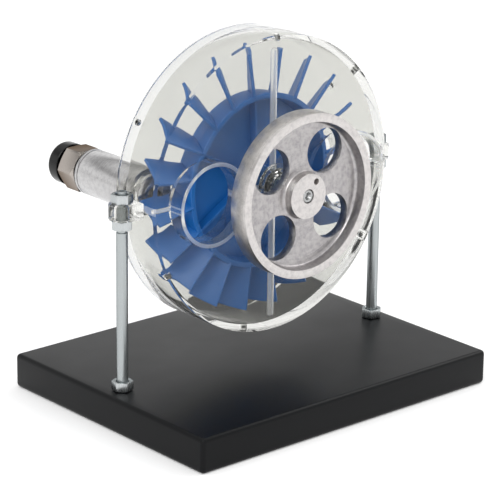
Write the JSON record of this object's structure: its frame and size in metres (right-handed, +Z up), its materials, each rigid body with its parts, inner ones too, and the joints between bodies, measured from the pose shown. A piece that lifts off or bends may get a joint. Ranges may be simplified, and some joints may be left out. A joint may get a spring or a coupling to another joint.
{
  "type": "desktop air turbine model",
  "caption": "Desktop teaching model of an axial turbine: bladed wheel in a clear drum on a shaft with a front flywheel, held by posts on a board, with an air inlet behind.",
  "frame": {"origin": "middle of the base board's underside", "axes": "+Z up, front (flywheel side) faces -Y, +X to the right seen from the front; the wheel's axis is parallel to Y at 117 mm height"},
  "size_m": [0.201, 0.1663, 0.197],
  "materials": {
    "black_board": "satin black, smooth, edges rounded over",
    "zinc_steel": "bright zinc plate",
    "clear_acrylic": "clear, polished, edges fine sawn and faintly frosted",
    "bearing_steel": "ground steel",
    "dark_steel": "blackened steel",
    "turned_aluminium": "turned and lightly brushed, pale satin",
    "black_rubber": "plain black",
    "nickel_plate": "bright nickel plate on brass",
    "blue_plastic": "solid mid blue, satin, as printed",
    "black_plastic": "satin black moulding"
  },
  "bodies": {
    "stand": {"base_board": "black_board", "post_left": "zinc_steel", "post_right": "zinc_steel", "base_nut_left": "zinc_steel", "base_nut_right": "zinc_steel", "lower_nut_left": "zinc_steel", "lower_nut_right": "zinc_steel", "upper_nut_left": "zinc_steel", "upper_nut_right": "zinc_steel", "lug_left": "clear_acrylic", "lug_right": "clear_acrylic", "casing_ring": "clear_acrylic", "front_plate": "clear_acrylic", "exhaust_tube_left": "clear_acrylic", "exhaust_tube_right": "clear_acrylic", "back_plate": "clear_acrylic", "front_bearing_boss": "clear_acrylic", "back_bearing_boss": "clear_acrylic", "front_bearing": "bearing_steel", "back_bearing": "bearing_steel", "rim_screw_front_1": "dark_steel", "rim_screw_front_2": "dark_steel", "rim_screw_front_3": "dark_steel", "rim_screw_back_1": "dark_steel", "rim_screw_back_2": "dark_steel", "rim_screw_back_3": "dark_steel", "nozzle_body": "turned_aluminium", "nozzle_seal": "black_rubber", "fitting_hex": "nickel_plate"},
    "rotor": {"shaft": "bearing_steel", "shaft_spacer": "zinc_steel", "rear_collar": "zinc_steel", "turbine_wheel": "blue_plastic", "flywheel": "turned_aluminium"},
    "collar": {"release_collar": "black_plastic"}
  },
  "joints": [
    {"name": "rotor_spin", "type": "hinge", "parent": "stand", "child": "rotor", "pos_m": [0, 0, 0.117], "axis": [0, -1, 0], "continuous": true},
    {"name": "collar_press", "type": "slide", "parent": "stand", "child": "collar", "axis": [0, -1, 0], "range_m": [0, 0.0015]}
  ]
}
